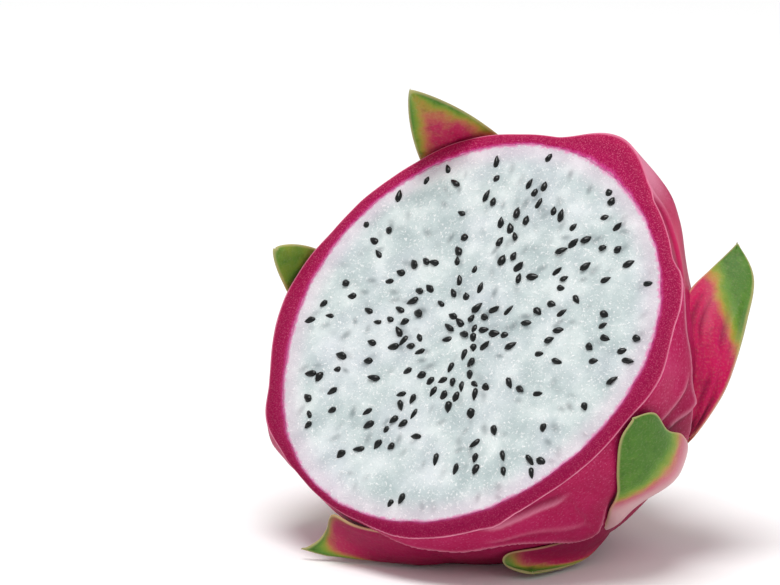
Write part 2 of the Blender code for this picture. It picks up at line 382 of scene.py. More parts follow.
def newMaterial(name, grains, **shading):  # grains: width in mm, detail and roughness of each noise
    material = bpy.data.materials.new(name)
    material.use_nodes = True
    tree = material.node_tree
    shader = tree.nodes["Principled BSDF"]
    for key, value in shading.items():
        socket = shader.inputs[key.replace("_", " ")]
        socket.default_value = linear(value) if isinstance(value, str) else value
    where = addNode(tree, "ShaderNodeTexCoord").outputs["Object"]
    fields = {"where": where}
    for key, (width, detail, rough) in grains.items():
        fields[key] = addNode(tree, "ShaderNodeTexNoise", {}, {
            "Vector": where, "Scale": 1 / (width * mm), "Detail": detail, "Roughness": rough,
        }).outputs["Fac"]
    return material, tree, shader, fields


def layered(tree, colour, layers):
    # Each layer: the field or attribute that shows it, the values between which it fades in
    # (None takes the field as it is), its strength, its colour and its blend if it isn't plain
    for field, fade, strength, tint, *blend in layers:
        if isinstance(field, str):
            field = addNode(tree, "ShaderNodeAttribute", {"attribute_name": field}).outputs["Fac"]
        if fade:
            low, high, *curve = fade
            field = addNode(
                tree, "ShaderNodeMapRange", {"interpolation_type": curve[0] if curve else "LINEAR"},
                {"Value": field, "From Min": low, "From Max": high}).outputs["Result"]
        amount = addNode(tree, "ShaderNodeMath", {"operation": "MULTIPLY"},
                         {0: field, 1: strength}).outputs[0]
        colour = addNode(
            tree, "ShaderNodeMix", {"data_type": "RGBA", "blend_type": blend[0] if blend else "MIX"},
            {0: amount, 6: colour, 7: tint}).outputs[2]
    return colour


def frayed(tree, name, grain, amount):  # an attribute whose borders a noise makes uneven
    field = addNode(tree, "ShaderNodeAttribute", {"attribute_name": name}).outputs["Fac"]
    for operation, other in (("SUBTRACT", 0.5), ("MULTIPLY", amount), ("ADD", field)):
        grain = addNode(tree, "ShaderNodeMath", {"operation": operation},
                        {0: grain, 1: other}).outputs[0]
    return grain


def surfaced(tree, shader, colour, parts, strength, depth):  # parts: the heights that add up
    tree.links.new(colour, shader.inputs["Base Color"])
    height = parts[0]
    for part in parts[1:]:
        height = addNode(tree, "ShaderNodeMath", {"operation": "ADD"},
                         {0: height, 1: part}).outputs[0]
    relief = addNode(tree, "ShaderNodeBump", {}, {
        "Height": height, "Strength": strength, "Distance": depth * mm})
    tree.links.new(relief.outputs["Normal"], shader.inputs["Normal"])


# Peel: a waxy, leathery skin with fine pale pores. It gives a soft satin highlight. The pores and
# speckle here, and the fibres and cells below, are drawn coarser than real ones so that they show.
peelMaterial, tree, shader, fields = newMaterial(
    "waxyPitahayaPeel",
    {"patches": (16, 3, 0.5), "speckle": (0.55, 3, 0.7), "leather": (2.2, 4, 0.5)},
    Roughness=0.45, Specular_IOR_Level=0.08,
)
poreSpacing, poreReach = 0.75, 0.34  # mm, and share of the spacing
colour = addNode(tree, "ShaderNodeValToRGB", {
    "stops": [(0.3, "#9c0a42"), (0.5, "#b0104e"), (0.72, "#c42463")],
}, {"Fac": fields["patches"]}).outputs["Color"]
height = addNode(tree, "ShaderNodeSeparateXYZ", {}, {0: fields["where"]}).outputs["Z"]
cells = addNode(tree, "ShaderNodeTexVoronoi", {"feature": "F1"}, {
    "Vector": fields["where"], "Scale": 1 / (poreSpacing * mm), "Randomness": 1.0})
pores = addNode(tree, "ShaderNodeMapRange", {"interpolation_type": "SMOOTHSTEP"}, {
    "Value": cells.outputs["Distance"], "From Min": poreReach, "From Max": 0.25 * poreReach,
}).outputs["Result"]
colour = layered(tree, colour, (
    (fields["speckle"], (0.42, 0.72), 0.34, "#d24f84"),
    (pores, None, 0.3, "#e57ba6"),
    (height, (42 * mm, 4 * mm, "SMOOTHSTEP"), 0.5, "#85083a"),  # painted shade: darker towards the floor
    # painted shade in the fold creases
    ("dark", None, 0.85, "#6c062c"),
    # paler fold edges, and a painted highlight on the top of the lobe by the cut
    ("pale", None, 0.8, "#ea9ab4"),
    ("deep", None, 1.0, "#d00e58"),
))
poreHeight = addNode(tree, "ShaderNodeMath", {"operation": "MULTIPLY"}, {0: pores, 1: 0.35})
surfaced(tree, shader, colour, (poreHeight.outputs[0], fields["leather"]), 0.35, 0.25)

# Cut peel: wet crimson tissue, violet next to the flesh, with pale fibre ends.
cutMaterial, tree, shader, fields = newMaterial(
    "cutPitahayaPeel",
    {"border": (1.4, 3, 0.5), "sand": (0.27, 2, 0.6), "lip": (3.0, 2, 0.5), "pulp": (1.2, 3, 0.5)},
    Roughness=0.42, Specular_IOR_Level=0.07,
)
colour = addNode(tree, "ShaderNodeValToRGB", {
    "stops": [(0.0, "#ee9cc8"), (0.06, "#d0408c"), (0.17, "#ad1053"), (0.6, "#a00a48"),
              (0.88, "#ae124e"), (1.0, "#c0265e")],
}, {"Fac": frayed(tree, "rimShare", fields["border"], 0.2)}).outputs["Color"]
lipStrength = addNode(tree, "ShaderNodeMath", {"operation": "ADD"}, {0: fields["lip"], 1: 0.3})
colour = layered(tree, colour, (
    (fields["sand"], (0.52, 0.72), 0.62, "#e0708f"),  # fibre ends
    (fields["sand"], (0.46, 0.3), 0.5, "#6e0430"),  # pits
    # painted shade: the lower part of the cut darker
    ("juice", None, 0.65, "#6e0231"),
    ("rimShare", (0.9, 0.985, "SMOOTHSTEP"), lipStrength.outputs[0], "#e48aa6"),
))
surfaced(tree, shader, colour, (fields["sand"], fields["pulp"]), 0.6, 0.25)

# Flesh: watery white cells that let light in, cloudy, with tiny wet glints.
fleshMaterial, tree, shader, fields = newMaterial(
    "wetWhiteFlesh",
    {"clouds": (6.5, 4, 0.55), "lilac": (15, 2, 0.5), "cells": (0.55, 2, 0.6),
     "border": (1.1, 3, 0.5), "pulp": (0.9, 4, 0.6)},
    Roughness=0.38, Specular_IOR_Level=0.4, Subsurface_Weight=0.35, Subsurface_Scale=2.5 * mm,
    Subsurface_Radius=(1.0, 1.0, 1.0),
)
colour = addNode(tree, "ShaderNodeValToRGB", {
    "stops": [(0.28, "#aab8b9"), (0.47, "#bfcbcb"), (0.66, "#dae2e1")],
}, {"Fac": fields["clouds"]}).outputs["Color"]
cells = addNode(tree, "ShaderNodeMapRange", {}, {
    "Value": fields["cells"], "From Min": 0.55, "From Max": 0.7}).outputs["Result"]
edge = frayed(tree, "fromEdge", fields["border"], 1.5)
colour = layered(tree, colour, (
    (fields["lilac"], (0.45, 0.75), 0.35, "#dcdae6"),
    (cells, None, 0.7, "#ffffff"),
    ("ghost", None, 0.9, "#5d686d"),
    (edge, (6.0, 0.4, "SMOOTHSTEP"), 0.4, "#e6c3d6"),  # blush
    (edge, (0.8, -0.1, "SMOOTHSTEP"), 1.0, "#e57fb4"),  # seam against the peel
))
surfaced(tree, shader, colour, (cells, fields["pulp"]), 0.45, 0.3)

# Bract: a thick waxy leaf, green at the tip and along the margins, pink where it joins the peel.
bractMaterial, tree, shader, fields = newMaterial(
    "waxyPitahayaBract",
    {"border": (4, 4, 0.5), "mottle": (1.6, 4, 0.6), "pores": (0.5, 2, 0.5)},
    Roughness=0.42, Specular_IOR_Level=0.14, Subsurface_Weight=0.08, Subsurface_Scale=1.0 * mm,
)
colour = addNode(tree, "ShaderNodeValToRGB", {
    "stops": [(0.0, "#c21656"), (0.22, "#bd3459"), (0.38, "#bd6e50"), (0.5, "#ab8f3e"),
              (0.64, "#839734"), (0.82, "#5f8a32"), (1.0, "#4b7628")],
}, {"Fac": frayed(tree, "green", fields["border"], 0.5)}).outputs["Color"]
pores = addNode(tree, "ShaderNodeMapRange", {}, {
    "Value": fields["pores"], "From Min": 0.5, "From Max": 0.75}).outputs["Result"]
colour = layered(tree, colour, (
    (fields["mottle"], (0.52, 0.8), 0.35, "#3c5f2a", "MULTIPLY"),
    (pores, None, 0.09, "#d9c7a0"),
    ("pale", None, 1.0, "#dcbcbd"),
    # painted shade at the base of the low leaves and in the hollows of the wrinkles
    ("dark", None, 1.0, "#760638"),
    ("fromMargin", (0.7, 0.1, "SMOOTHSTEP"), 0.5, "#d8c08e"),  # thin dry margin
))
poreHeight = addNode(tree, "ShaderNodeMath", {"operation": "MULTIPLY"}, {0: pores, 1: 0.3})
surfaced(tree, shader, colour, (fields["mottle"], poreHeight.outputs[0]), 0.35, 0.25)

# Seed: a hard black seed coat under a film of juice, so it shows small bright highlights.
seedMaterial, tree, shader, fields = newMaterial(
    "wetBlackSeedCoat", {"coat": (1.2, 2, 0.5)},
    Roughness=0.3, Specular_IOR_Level=0.22, Coat_Weight=0.2, Coat_Roughness=0.08,
)
colour = addNode(tree, "ShaderNodeValToRGB", {"stops": [(0.35, "#020303"), (0.7, "#0d1112")]},
                 {"Fac": fields["coat"]}).outputs["Color"]
tree.links.new(colour, shader.inputs["Base Color"])

# Stem: dry, corky wood with fibres along it. It is rough and has no shine.
stemMaterial, tree, shader, fields = newMaterial(
    "dryCorkyStem", {"cork": (1.8, 5, 0.65), "fibres": (0.9, 5, 0.7)},
    Roughness=0.8, Specular_IOR_Level=0.3,
)
colour = addNode(tree, "ShaderNodeValToRGB", {
    "stops": [(0.3, "#4d4524"), (0.5, "#7b7140"), (0.7, "#a0915c")],
}, {"Fac": fields["cork"]}).outputs["Color"]
surfaced(tree, shader, colour, (fields["fibres"],), 0.8, 0.4)

# Floor: matt white card, so it takes a soft shadow and no shine.
floorMaterial = newMaterial("paleFloor", {}, Roughness=0.9, Base_Color="#fbfbfb",
                            Specular_IOR_Level=0.1)[0]
print("materials made")


# How many points the peel has round it, down its outside, across the cut and down its inside
peel = {"turns": 520, "outerRows": 124, "rimRows": 13, "innerRows": 14, "stemWall": 3.2}


def makePeel():
    turns = np.arange(peel["turns"]) * 360 / peel["turns"] - 180
    rows = np.linspace(0, 1, peel["outerRows"]) ** 1.12 * (skinLength - 0.15)
    travel, turn = np.meshgrid(rows, turns, indexing="ij")
    height, dark, pale = foldField(turn, travel)
    plain = onSkin(turn, travel, swollen=False)
    calm = smooth(skinLength - travel, 1, 12)
    uneven = 0.28 * roughly(plain, 13) + 0.12 * roughly(plain, 5, 7.0)
    outer = onSkin(turn, travel, (height + uneven) * calm)
    deep = 0.9 * bump(turnBetween(turn, 39) / 17) * bump((travel - 7) / 8)
    # painted highlight on the top of the lobe by the cut
    pale = pale + 0.8 * bump(turnBetween(turn, 59) / 13) * bump((travel - 1) / 8)

    share = np.linspace(1, 0, peel["rimRows"] + 2)[1:]
    edge = np.hypot(outer[0, :, 0], outer[0, :, 1])
    flesh = fleshEdge(turns)
    radius = flesh + (edge - flesh) * share[:, None]
    angle = np.radians(turns)
    ring = np.stack(
        [radius * np.cos(angle), radius * np.sin(angle), np.zeros_like(radius)], axis=-1
    )
    relief = 0.35 * np.sin(math.pi * share[:, None] ** 0.8) + 0.10 * roughly(ring, 1.6)
    ring[..., 2] = relief * smooth(share, 0, 0.2)[:, None] * smooth(1 - share, 0, 0.15)[:, None]

    walls = profile(rimRadius - body["wall"], body["depth"] - body["stemPit"] - peel["stemWall"])
    way = np.linspace(0, walls[0][-1], peel["innerRows"] + 1)[1:-1]
    across, down = (np.interp(way, walls[0], column)[:, None] for column in walls[1:])
    fit = 1 + (flesh * mm / fleshReach - 1) * (1 - smooth(down, 0, 25))
    inner = np.stack(np.broadcast_arrays(
        across * fit * np.cos(angle), across * fit * np.sin(angle), -down), -1)

    rings = np.concatenate([outer[::-1], ring, inner])
    count = len(rings)
    points = np.vstack([rings.reshape(-1, 3), [[0, 0, outer[-1, :, 2].mean()]],
                        [[0, 0, -walls[2][-1]]]])
    faces = [*ringFaces(count, peel["turns"]), *endFaces(count, peel["turns"])]
    quads = (count - 1) * peel["turns"]
    row = np.arange(quads) // peel["turns"]
    cut = (row >= peel["outerRows"] - 1).astype(int)
    slots = np.concatenate([cut, np.tile([0, 1], peel["turns"])])
    extra = (len(ring) + len(inner)) * peel["turns"] + 2
    rimShare = np.concatenate([
        np.ones(outer.shape[0] * peel["turns"]), np.repeat(share, peel["turns"]),
        np.zeros(inner.shape[0] * peel["turns"] + 2)])
    values = {key: np.concatenate([field[::-1].ravel(), np.zeros(extra)])
              for key, field in (("dark", dark), ("pale", pale), ("deep", deep))}
    values["rimShare"] = rimShare
    # painted shade on the cut, darkest at its bottom
    values["juice"] = np.concatenate([
        np.tile(0.5 - 0.5 * np.sin(np.radians(turns)), count), np.zeros(2)])
    return makePiece("peelShell", points, faces, [peelMaterial, cutMaterial], values, slots)


peelShell = makePeel()
print("peel made:", len(peelShell.data.polygons), "faces")


# crown is how far its middle stands above the cut, clear the room left inside the peel
flesh = {"grid": 240, "domeRows": 9, "crown": 0.35, "ghosts": 230, "seed": 5, "clear": 0.15,
         "stemWall": 3.5}


def makeFlesh():
    size = flesh["grid"]
    u, v = np.meshgrid(np.linspace(-1, 1, size + 1), np.linspace(-1, 1, size + 1), indexing="ij")
    wide = np.abs(u) > np.abs(v)
    with np.errstate(divide="ignore", invalid="ignore"):
        radius = np.where(wide, u, v)
        angle = np.where(wide, math.pi / 4 * v / u, math.pi / 2 - math.pi / 4 * u / v)
    angle = np.where(radius == 0, 0.0, angle)
    angle = np.where(radius < 0, angle + math.pi, angle)
    radius = np.abs(radius)
    reach = fleshEdge(np.degrees(angle))
    x, y = radius * reach * np.cos(angle), radius * reach * np.sin(angle)
    flat = np.stack([x, y, np.zeros_like(x)], -1)
    fromEdge = (1 - radius) * reach
    rough = 0.10 * roughly(flat, 4.0) + 0.06 * roughly(flat, 1.5, 3.0)
    z = flesh["crown"] * smooth(fromEdge, 0, 7) + rough * smooth(fromEdge, 0, 1.5) - 0.05
    face = np.stack([x, y, z], -1)

    # seeds that lie under the surface show as grey smudges
    random = np.random.default_rng(flesh["seed"])
    ghost = np.zeros_like(x)
    for _ in range(flesh["ghosts"]):
        away = reach.mean() * math.sqrt(random.uniform(0, 0.86))
        spin = random.uniform(0, 2 * math.pi)
        lean = spin + random.normal(0, 0.5)
        dx, dy = x - away * math.cos(spin), y - away * math.sin(spin)
        along = dx * math.cos(lean) + dy * math.sin(lean)
        aside = dy * math.cos(lean) - dx * math.sin(lean)
        big, depth = random.uniform(0.8, 1.3), random.uniform(0.15, 0.75) ** 1.3
        spot = np.exp(-((along / (1.15 * big)) ** 2 + (aside / (0.62 * big)) ** 2) ** 1.2)
        ghost = np.maximum(ghost, depth * spot)

    n = size + 1
    grid = np.arange(n * n).reshape(n, n)
    faces = list(np.stack([grid[:-1, :-1], grid[1:, :-1], grid[1:, 1:], grid[:-1, 1:]],
                          -1).reshape(-1, 4))
    border = np.concatenate([grid[:-1, 0], grid[-1, :-1], grid[:0:-1, -1], grid[0, :0:-1]])
    edge = face.reshape(-1, 3)[border]
    turn = np.arctan2(edge[:, 1], edge[:, 0])
    walls = profile(rimRadius - body["wall"], body["depth"] - body["stemPit"] - flesh["stemWall"])
    way = np.linspace(0, walls[0][-1], flesh["domeRows"] + 2)[1:-1]
    across, down = (np.interp(way, walls[0], column)[:, None] for column in walls[1:])
    fit = 1 + (np.hypot(edge[:, 0], edge[:, 1]) * mm / fleshReach - 1) * (1 - smooth(down, 0, 25))
    dome = np.stack(np.broadcast_arrays(
        (across - flesh["clear"]) * fit * np.cos(turn),
        (across - flesh["clear"]) * fit * np.sin(turn), -down), -1)
    points = np.vstack([face.reshape(-1, 3), dome.reshape(-1, 3), [[0, 0, -walls[2][-1]]]])
    count, first = len(border), n * n
    for k in range(count):
        after = (k + 1) % count
        faces.append((border[k], first + k, first + after, border[after]))
        last = first + (flesh["domeRows"] - 1) * count
        faces.append((last + k, len(points) - 1, last + after))
    faces += list(ringFaces(flesh["domeRows"], count, first, flip=True))
    extra = np.zeros(len(points) - n * n)
    values = {"fromEdge": np.concatenate([fromEdge.ravel(), extra]),
              "ghost": np.concatenate([ghost.ravel(), extra])}
    return makePiece("fleshHalf", points, faces, [fleshMaterial], values)


fleshHalf = makeFlesh()
print("flesh made:", len(fleshHalf.data.polygons), "faces")


# density per square centimetre where they lie closest, then millimetres; lean in radians
seeds = {"density": 58.0, "gap": 2.3, "length": 2.65, "width": 1.62, "lean": 0.62, "sink": 0.1,
         "random": 11}


seedMesh = {"rings": 7, "around": 8}


def makeSeedShape():  # a teardrop along X, of a few dozen faces
    rings, around = seedMesh["rings"], seedMesh["around"]
    points = []
    for k in range(1, rings):
        share = k / rings
        x = -0.5 + share
        girth = math.sin(math.pi * share) ** 0.62 * (1.18 - 0.62 * share)
        for j in range(around):
            angle = 2 * math.pi * j / around
            lump = 1 + 0.09 * math.sin(3 * angle + 9 * share)
            points.append((x, 0.5 * lump * girth * math.cos(angle),
                           0.36 * lump * girth * math.sin(angle)))
    points += [(-0.5, 0, 0), (0.5, 0, 0)]
    faces = [*map(tuple, ringFaces(rings - 1, around)), *endFaces(rings - 1, around)]
    mesh = bpy.data.meshes.new("seedShape")
    mesh.from_pydata(points, [], faces)
    mesh.shade_smooth()
    shape = bpy.data.objects.new("seedShape", mesh)
    bpy.context.scene.collection.objects.link(shape)
    return shape


def makeSeedBed():  # the cut face alone, with how closely the seeds lie on it
    rings, turns = 40, 96
    share = (np.arange(rings) + 0.5) / rings * 0.955
    angle = np.arange(turns) * 2 * math.pi / turns
    reach = fleshEdge(np.degrees(angle))
    radius = share[:, None] * reach
    z = flesh["crown"] * smooth(reach - radius, 0, 7)
    points = np.stack([radius * np.cos(angle), radius * np.sin(angle), z], -1).reshape(-1, 3)
    crowd = 0.17 + 0.25 * (1 - share**2) + 0.58 * np.exp(-((share / 0.11) ** 2))
    return makePiece("seedBed", points, ringFaces(rings, turns, flip=True), [],
                     {"crowding": np.repeat(crowd, turns)}, press=False)


def makeSeeds():
    shape, bed = makeSeedShape(), makeSeedBed()
    tree = bpy.data.node_groups.new("scatterSeeds", "GeometryNodeTree")
    ports = {}
    for label, kind, value in (
        ("Geometry", "NodeSocketGeometry", None),
        ("Seeds per square metre", "NodeSocketFloat", seeds["density"] * 1e4),
        ("Smallest gap", "NodeSocketFloat", seeds["gap"] * mm),
        ("Length", "NodeSocketFloat", seeds["length"] * mm),
        ("Width", "NodeSocketFloat", seeds["width"] * mm),
        ("Lean", "NodeSocketFloat", seeds["lean"]),
        ("Sink", "NodeSocketFloat", seeds["sink"] * mm),
        ("Random", "NodeSocketInt", seeds["random"]),
        ("Centre", "NodeSocketVector", None),
        ("Facing", "NodeSocketVector", None),
        ("Seed", "NodeSocketObject", None),
        ("Coat", "NodeSocketMaterial", None),
    ):
        port = tree.interface.new_socket(label, in_out="INPUT", socket_type=kind)
        ports[label] = (port.identifier, value)
    tree.interface.new_socket("Geometry", in_out="OUTPUT", socket_type="NodeSocketGeometry")
    given = addNode(tree, "NodeGroupInput").outputs
    crowd = addNode(tree, "GeometryNodeInputNamedAttribute", {"data_type": "FLOAT"},
                    {"Name": "crowding"})
    spread = addNode(tree, "GeometryNodeDistributePointsOnFaces", {"distribute_method": "POISSON"},
                     {"Mesh": given["Geometry"], "Distance Min": given["Smallest gap"],
                      "Density Max": given["Seeds per square metre"],
                      "Density Factor": crowd.outputs["Attribute"], "Seed": given["Random"]})
    spot = addNode(tree, "GeometryNodeInputPosition").outputs["Position"]
    outward = addNode(tree, "ShaderNodeVectorMath", {"operation": "SUBTRACT"},
                      {0: spot, 1: given["Centre"]}).outputs["Vector"]

    def chance(low, high, offset, times=1.0):  # a random number of its own, times a size
        seed = addNode(tree, "ShaderNodeMath", {"operation": "ADD"},
                       {0: given["Random"], 1: float(offset)}).outputs[0]
        value = addNode(tree, "FunctionNodeRandomValue", {"data_type": "FLOAT"},
                        {2: low, 3: high, "Seed": seed}).outputs[1]
        return addNode(tree, "ShaderNodeMath", {"operation": "MULTIPLY"},
                       {0: times, 1: value}).outputs[0]

    aimed = addNode(tree, "FunctionNodeAlignRotationToVector", {"axis": "Z"},
                    {"Vector": given["Facing"]}).outputs["Rotation"]
    radial = addNode(tree, "FunctionNodeAlignRotationToVector", {"axis": "X", "pivot_axis": "Z"},
                     {"Rotation": aimed, "Vector": outward}).outputs["Rotation"]
    both = chance(0.0, 2.6, 2, times=chance(-1.0, 1.0, 1))  # mostly near radial, some far off
    angle = addNode(tree, "ShaderNodeMath", {"operation": "MULTIPLY"},
                    {0: both, 1: given["Lean"]}).outputs[0]
    spin = addNode(tree, "FunctionNodeAxisAngleToRotation", {},
                   {"Axis": (0, 0, 1), "Angle": angle}).outputs["Rotation"]
    tip = addNode(tree, "FunctionNodeAxisAngleToRotation", {},
                  {"Axis": (0, 1, 0), "Angle": chance(-0.32, 0.32, 3)}).outputs["Rotation"]
    roll = addNode(tree, "FunctionNodeAxisAngleToRotation", {},
                   {"Axis": (1, 0, 0), "Angle": chance(-0.6, 0.6, 4)}).outputs["Rotation"]
    turned = radial
    for extra in (spin, tip, roll):
        turned = addNode(tree, "FunctionNodeRotateRotation", {"rotation_space": "LOCAL"},
                         {"Rotation": turned, "Rotate By": extra}).outputs["Rotation"]
    size = addNode(tree, "ShaderNodeCombineXYZ", {}, {
        0: chance(0.74, 1.18, 5, times=given["Length"]),
        1: chance(0.82, 1.22, 6, times=given["Width"]),
        2: chance(0.85, 1.15, 7, times=given["Width"])}).outputs["Vector"]
    depth = chance(-2.6, 2.2, 8, times=given["Sink"])
    shift = addNode(tree, "ShaderNodeVectorMath", {"operation": "SCALE"},
                    {0: given["Facing"], "Scale": depth}).outputs["Vector"]
    moved = addNode(tree, "GeometryNodeSetPosition", {},
                    {"Geometry": spread.outputs["Points"], "Offset": shift}).outputs["Geometry"]
    single = addNode(tree, "GeometryNodeObjectInfo", {"transform_space": "ORIGINAL"},
                     {"Object": given["Seed"]}).outputs["Geometry"]
    copies = addNode(tree, "GeometryNodeInstanceOnPoints", {},
                     {"Points": moved, "Instance": single, "Rotation": turned, "Scale": size})
    whole = addNode(tree, "GeometryNodeRealizeInstances", {},
                    {"Geometry": copies.outputs["Instances"]}).outputs["Geometry"]
    painted = addNode(tree, "GeometryNodeSetMaterial", {},
                      {"Geometry": whole, "Material": given["Coat"]}).outputs["Geometry"]
    addNode(tree, "NodeGroupOutput", {}, {"Geometry": painted})

    scatter = bed.modifiers.new("scatterSeeds", "NODES")
    scatter.node_group = tree
    values = {"Centre": faceCentre.tolist(), "Facing": faceOut.tolist(), "Seed": shape,
              "Coat": seedMaterial}
    for label, (identifier, value) in ports.items():
        value = values.get(label, value)
        if value is not None:
            scatter[identifier] = value
    graph = bpy.context.evaluated_depsgraph_get()
    mesh = bpy.data.meshes.new_from_object(bed.evaluated_get(graph), depsgraph=graph)
    bed.modifiers.remove(scatter)
    mesh.name = "seeds"
    mesh.shade_smooth()
    piece = bpy.data.objects.new("seeds", mesh)
    bpy.context.scene.collection.objects.link(piece)
    for helper in (shape, bed):
        bpy.data.objects.remove(helper)
    return piece


seedPiece = makeSeeds()
facesOfOne = seedMesh["rings"] * seedMesh["around"]
print("seeds made:", len(seedPiece.data.polygons) // facesOfOne)


# points along and round a leaf, its thickness, how deep its base is sunk, and the mean radius
# that turns its lean to a length
blade = {"along": 46, "around": 36, "thick": 1.7, "sink": 1.5, "radius": 40}


def spineOf(spec):  # turn, travel and height from the base to the tip
    (turn, travel), (tipTurn, tipTravel) = spec["base"], spec["tip"]
    run = turnBetween(tipTurn, turn)
    rows = []
    for share in np.linspace(0, 1, 6):
        height = spec["lift"] * share**1.5 + 0.9 - blade["sink"] * (1 - smooth(share, 0, 0.22))
        rows.append((turn + run * share, travel + (tipTravel - travel) * share, height))
    return rows


# Leaves whose two margins are listed, each from the base to the tip, as turn, travel
# and height: the one nearer the cut first
margins = {
    "bract_right": (
        [(-11, 26, -2.4), (-1, 21, -2.2), (12, 17.5, -2.0), (25, 16, -1.6), (34, 17.5, 0.2),
         (40.5, 19.2, 4.8), (46, 19.8, 11.9)],
        [(-9, 27, 0.6), (-3, 24.5, 3.4), (5, 22, 6.0), (14, 20.5, 7.8), (24, 20, 10.2),
         (35.5, 20, 13.0), (46, 19.8, 11.9)],
    ),
    "bract_lower_left": (
        [(-76, 9, -1.5), (-86, 3.5, -0.6), (-95, 1.8, 0.0), (-103, 1.0, 0.6), (-109.8, 0.4, 0.9),
         (-112.2, 4, 3.8), (-112.8, 4.8, 6.4), (-113.9, 5, 8.4), (-115.5, 5.2, 10.2)],
        [(-80, 20, -1.0), (-87.8, 15.2, 0.6), (-95.5, 12.6, 2.2), (-103.4, 9.9, 4.8),
         (-109, 8.2, 7.0), (-112.5, 6.4, 8.8), (-115.5, 5.2, 10.2)],
    ),
    "bract_front_foot": (
        [(-34, 30, -1.8), (-45, 25.5, -0.4), (-56, 18, 0.2), (-65, 14.2, 0.5), (-67, 14.6, 2.6),
         (-61.3, 17.0, 5.0)],
        [(-34, 42, -2.2), (-41, 36, -0.4), (-46, 32.5, 1.6), (-51.5, 29, 3.2), (-57, 22.5, 4.2),
         (-61.3, 17.0, 5.0)],
    ),
    "bract_front_right": (
        [(-46, 30, -1.6), (-41, 28, -0.2), (-36.6, 22, 0.4), (-32.6, 15, 0.6), (-28.2, 7.5, 0.8),
         (-22.6, 0.6, 1.2), (-16.8, -1.6, 1.8)],
        [(-46, 31.5, -1.6), (-40, 30.5, 0.2), (-31, 28.5, 1.4), (-19, 27.5, 2.0), (-11, 23, 2.6),
         (-10, 16, 2.6), (-12.5, 9.5, 2.4), (-12.2, 2.4, 2.0), (-16.8, -1.6, 1.8)],
    ),
}


